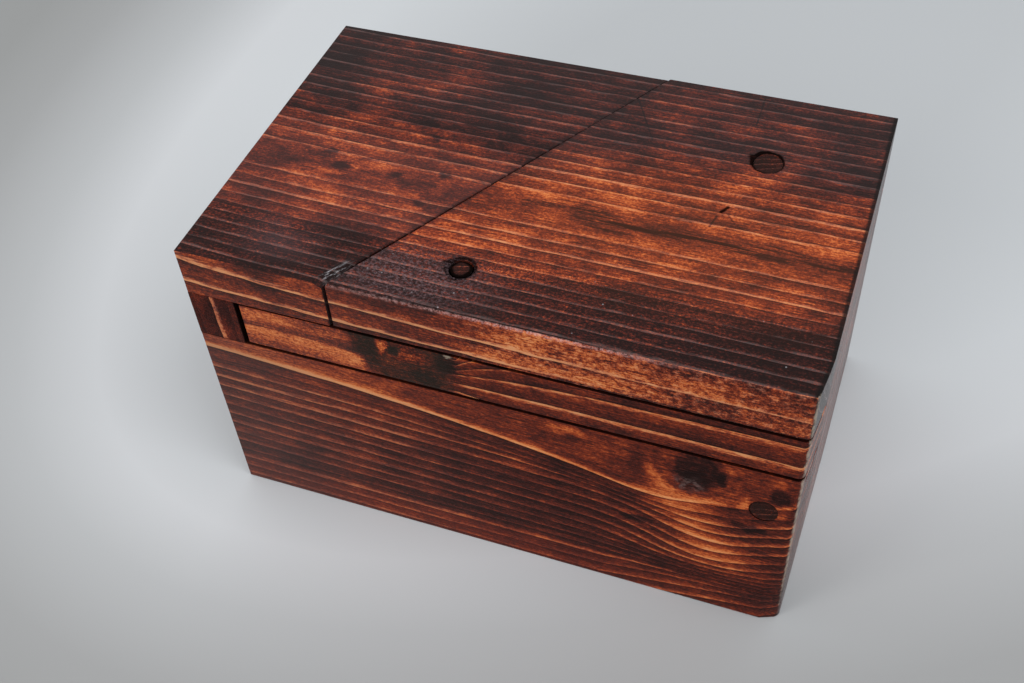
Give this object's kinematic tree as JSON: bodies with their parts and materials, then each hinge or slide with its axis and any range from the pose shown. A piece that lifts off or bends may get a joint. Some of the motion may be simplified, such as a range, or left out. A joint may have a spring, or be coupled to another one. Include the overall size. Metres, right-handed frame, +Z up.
{
  "type": "puzzle box",
  "caption": "Stained wooden puzzle box whose top is sawn on the slant: the right half swings out on an upright dowel, a front strip slides sideways, and a pin pushes down to lock it.",
  "frame": {"origin": "the middle of the footprint, on the table under the box", "axes": "+X runs to the right along the length of the box, +Y from the front face to the back face, +Z up"},
  "size_m": [0.2, 0.1254, 0.1167],
  "materials": {
    "stained_pine": "dark red-brown stain under satin varnish, with brighter grain lines",
    "stained_dowel": "dark stained end grain under satin varnish",
    "bare_pine": "plain sanded pine"
  },
  "bodies": {
    "box": {"bottom_panel": "bare_pine", "front_panel": "stained_pine", "back_panel": "stained_pine", "left_panel": "stained_pine", "right_panel": "stained_pine", "left_rail": "stained_pine", "back_rail": "stained_pine", "right_rail": "stained_pine", "pivot_block": "bare_pine", "fixed_top": "stained_pine", "wall_dowel": "stained_dowel"},
    "lid": {"lid_half": "stained_pine", "pivot_dowel": "stained_dowel", "pivot_collar": "bare_pine"},
    "strip": {"slide_strip": "stained_pine"},
    "pin": {"lock_pin": "stained_dowel"}
  },
  "joints": [
    {"name": "lid_swing", "type": "hinge", "parent": "box", "child": "lid", "pos_m": [0.06475, 0.0282, 0.1], "axis": [0, 0, 1], "range_deg": [0, 160]},
    {"name": "strip_slide", "type": "slide", "parent": "box", "child": "strip", "axis": [1, 0, 0], "range_m": [0, 0.12]},
    {"name": "pin_push", "type": "slide", "parent": "lid", "child": "pin", "axis": [0, 0, -1], "range_m": [0, 0.007]}
  ]
}
